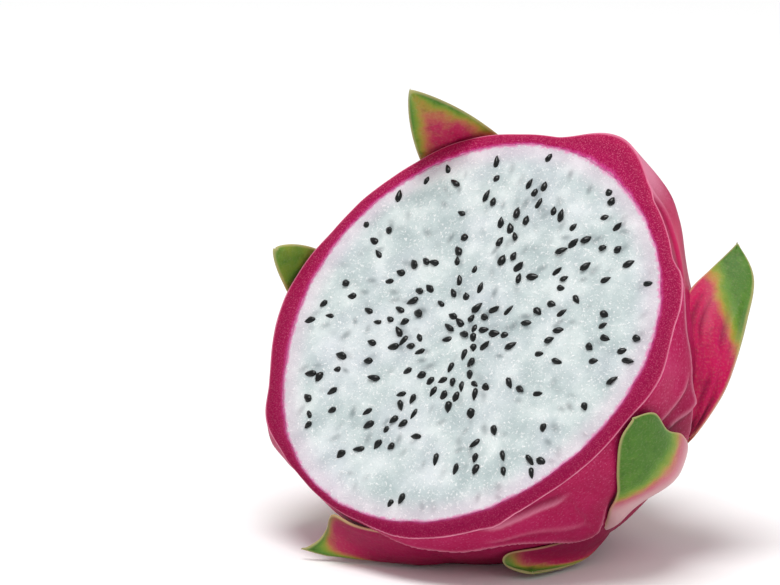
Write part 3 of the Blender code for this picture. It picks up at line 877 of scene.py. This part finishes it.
def makeBlade(node, spec):
    spine = spineOf(spec)
    (turn, travel), (tipTurn, tipTravel) = spec["base"], spec["tip"]
    way = (math.radians(turnBetween(tipTurn, turn)) * blade["radius"], tipTravel - travel)
    length = math.hypot(*way)
    way = (way[0] / length, way[1] / length)

    def halfWidth(share):
        if node in margins:
            near, far = (onSkin(*np.moveaxis(throughPoints(side, share), -1, 0), swollen=False)
                         for side in margins[node])
            return 0.5 * np.linalg.norm(near - far, axis=-1)
        flare = 1 + 0.18 * (1 - smooth(share, 0, 0.2))
        return (0.5 * spec["width"] * np.clip(1 - share, 0, 1) ** spec["blunt"]
                * (1 + 0.75 * share) * flare)

    def middle(share, across):
        wave = 0.25 * np.sin(9 * share + 2 * across) * across**2 * smooth(share, 0.1, 0.5)
        keel = -0.25 * np.exp(-((across / 0.12) ** 2)) * smooth(share, 0.3, 0.6)
        bulge = spec.get("bulge", 0) * (1 - across**2) * smooth(1 - share, 0, 0.5)
        bulge = bulge * smooth(share, 0, 0.3)
        if node in margins:
            near, far = (throughPoints(side, share) for side in margins[node])
            both = near + (far - near) * (0.5 + 0.5 * across[..., None])
            turn, travel, height = np.moveaxis(both, -1, 0)
            return onSkin(turn, travel, height + wave + keel + bulge)
        turn, travel, height = np.moveaxis(throughPoints(spine, share), -1, 0)
        aside = halfWidth(share) * across
        height = height + spec["cup"] * share * across**2 + wave + keel + bulge
        travel = travel - aside * way[0]
        radius = np.maximum(skinBase(travel)[0], 6.0)
        turn = turn + np.degrees(aside * way[1] / radius)
        return onSkin(turn, travel, height)

    share = 1 - (1 - np.linspace(0, 0.995, blade["along"])) ** 1.15
    spin = np.arange(blade["around"]) * 2 * math.pi / blade["around"]
    share, spin = np.meshgrid(share, spin, indexing="ij")
    across = np.cos(spin)
    step = 0.004
    along = middle(share + step, across) - middle(share - step, across)
    aside = middle(share, across + 0.02) - middle(share, across - 0.02)
    normal = np.cross(along, aside)
    normal *= np.sign((normal * (middle(share, across) * [1, 1, 0.5])).sum(-1).mean())
    normal /= np.maximum(np.linalg.norm(normal, axis=-1, keepdims=True), 1e-9)
    thick = blade["thick"] * (1 - 0.5 * share) * np.sign(np.sin(spin)) * np.abs(np.sin(spin)) ** 0.8
    thick = thick * np.sqrt(np.minimum(1, halfWidth(share) / 2.0))
    creases = np.sin(19 * across + 5 * share + 2 * np.sin(6 * share))
    creases = creases + 0.7 * np.sin(34 * across - 7 * share + 2 * np.sin(4 * share + 4 * across))
    creases = spec.get("wrinkle", 0) * creases * (1 - smooth(share, 0.5, 0.8))
    centre = middle(share, across)
    lowest = placed(centre)[..., 2] / mm
    lift = np.maximum(0, 0.6 * blade["thick"] + 0.1 - lowest)
    centre = centre + lift[..., None] * np.array([0, upFace[2], faceOut[2]])
    rings = centre + normal * (thick / 2 + creases)[..., None]
    points = np.vstack([rings.reshape(-1, 3), [rings[0].mean(axis=0)],
                        [centre[-1].mean(axis=0)]])
    faces = [*ringFaces(blade["along"], blade["around"]),
             *endFaces(blade["along"], blade["around"])]
    fromMargin = (1 - np.abs(across)) * halfWidth(share)
    skew = spec.get("skew", 0) * across
    paler = spec.get("pale", 0) * (1 - smooth(share - skew, 0.36, 0.58))
    # painted shade: darker near the base of the low leaves, and in the hollows of the wrinkles
    paintedLeafShade = spec.get("dark", 0) * (1 - smooth(share + 0.1 * across, 0.35, 0.75))
    paintedLeafShade = np.maximum(
        paintedLeafShade, 0.65 * smooth(-creases / (spec.get("wrinkle", 0) + 0.2), 0.1, 1.2))
    toGreen = spec["green"] + skew - spec["margins"] * np.abs(across) ** 2.5
    # a cap below 1 is painted light, keeping a shaded leaf a lighter green
    green = np.clip((share - toGreen) / spec["span"], 0, 1) * spec.get("ripe", 1)
    values = {
        "green": np.concatenate([green.ravel(), [0, 1]]),
        "fromMargin": np.concatenate([fromMargin.ravel(), [5, 0]]),
        "pale": np.concatenate([paler.ravel(), [0, 0]]),
        "dark": np.concatenate([paintedLeafShade.ravel(), [0, 0]]),
    }
    words = node.split("_")
    name = words[0] + "".join(word.capitalize() for word in words[1:])
    return makePiece(name, points, faces, [bractMaterial], values)


blades = {node: makeBlade(node, spec) for node, spec in bracts.items()}
print("bracts made:", len(blades))


stem = {"radius": 5.6, "length": 9.0, "around": 96, "rows": 30}


def makeStem():
    low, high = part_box("stem_stub")
    middle = (np.array(low) + np.array(high)) / 2
    local = np.array([(middle - faceCentre) @ way for way in (sideways, upFace, faceOut)]) / mm
    around, rows = stem["around"], stem["rows"]
    spin = np.arange(around) * 2 * math.pi / around
    along = np.linspace(0, 1, rows)
    flare = 1 + 0.14 * along**3 + 0.25 * np.exp(-((along / 0.12) ** 2))
    ribs = 0.22 * np.cos(11 * spin) + 0.12 * np.cos(23 * spin + 1.3)
    radius = stem["radius"] * flare[:, None] * 0.93 + ribs * (0.4 + 0.6 * along[:, None])
    z = -(along[:, None] - 0.5) * stem["length"] + 0 * spin
    rings = [np.stack([radius * np.cos(spin), radius * np.sin(spin), z], -1)]
    for inward, dip in ((0.93, 0.25), (0.8, 0.1), (0.6, -0.1), (0.42, -0.35), (0.3, 0.1),
                        (0.16, 0.3)):
        edge = radius[-1] * inward
        rings.append(np.stack([edge * np.cos(spin), edge * np.sin(spin),
                               z[-1] - 0.3 - dip], -1)[None])
    rings = np.concatenate(rings)
    rings = rings + 0.12 * roughly(rings, 1.5)[..., None]
    points = np.vstack([rings.reshape(-1, 3), [rings[0].mean(axis=0)], [rings[-1].mean(axis=0)]])
    points = points + np.array([0, 0, local[2]])
    faces = [*ringFaces(len(rings), around, flip=True), *endFaces(len(rings), around, flip=True)]
    return makePiece("stemStub", points, faces, [stemMaterial])


stemPiece = makeStem()
print("stem made")

# What each piece stands for in the frame. The seeds stand for no node
for piece, node, slot in (
    (peelShell, "rind", "peel"), (fleshHalf, "flesh", "flesh"), (stemPiece, "stem_stub", "stem"),
    *((piece, node, "bract") for node, piece in blades.items()),
):
    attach(piece, "root")
    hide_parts(node)
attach(seedPiece, "root")

# Side of the floor in metres, strength of the world light, watts of the two lamps
studio = {"floor": 14.0, "world": 0.58, "key": 60.0, "fill": 5.0}
floorMesh = bpy.data.meshes.new("floor")
half = studio["floor"] / 2
floorMesh.from_pydata([(-half, -half, 0), (half, -half, 0), (half, half, 0), (-half, half, 0)],
                      [], [(0, 1, 2, 3)])
floorMesh.materials.append(floorMaterial)
floor = bpy.data.objects.new("floor", floorMesh)
bpy.context.scene.collection.objects.link(floor)

# Degrees, distance in metres, lens in mm, and how far beside and above the cut face it aims, in mm
view = {"azimuth": 35.6, "elevation": 11.2, "distance": 0.70, "lens": 159.3,
        "aside": -16.3, "above": 8.3}
azimuth, elevation = (math.radians(view[key]) for key in ("azimuth", "elevation"))
back = Vector((math.sin(azimuth) * math.cos(elevation), -math.cos(azimuth) * math.cos(elevation),
               math.sin(elevation)))
right = Vector((math.cos(azimuth), math.sin(azimuth), 0))
up = back.cross(right)


def aimed(thing, place, target):  # -Z of the thing looks at the target
    thing.matrix_world = Matrix.Translation(place) @ (
        (target - place).to_track_quat("-Z", "Y").to_matrix().to_4x4()
    )


centre = Vector(faceCentre.tolist())
aim = centre + (view["aside"] * right + view["above"] * up) * mm
cameraData = bpy.data.cameras.new("camera")
cameraData.sensor_width, cameraData.lens = 36, view["lens"]
cameraData.clip_start, cameraData.clip_end = 0.01, 20
camera = bpy.data.objects.new("camera", cameraData)
bpy.context.scene.collection.objects.link(camera)
aimed(camera, aim + back * view["distance"], aim)
bpy.context.scene.camera = camera

for name, power, size, spot in (
    ("keyLight", studio["key"], 1.5, centre + Vector((0.1, -0.55, 2.9))),
    ("fillLight", studio["fill"], 1.6, centre + right * 2.2 + back * 1.6 + Vector((0, 0, 1.0))),
):
    lamp = bpy.data.lights.new(name, "AREA")
    lamp.shape, lamp.size, lamp.energy = "DISK", size, power
    light = bpy.data.objects.new(name, lamp)
    bpy.context.scene.collection.objects.link(light)
    aimed(light, spot, centre)

world = bpy.data.worlds.new("paleStudio")
bpy.context.scene.world = world
world.use_nodes = True
sky = world.node_tree.nodes["Background"]
sky.inputs["Color"].default_value = (1, 1, 1, 1)
rays = addNode(world.node_tree, "ShaderNodeLightPath").outputs["Is Camera Ray"]
plain = addNode(world.node_tree, "ShaderNodeMapRange", {}, {
    "Value": rays, "To Min": studio["world"], "To Max": 1.0})
world.node_tree.links.new(plain.outputs["Result"], sky.inputs["Strength"])
bpy.context.scene.view_settings.view_transform = "Standard"
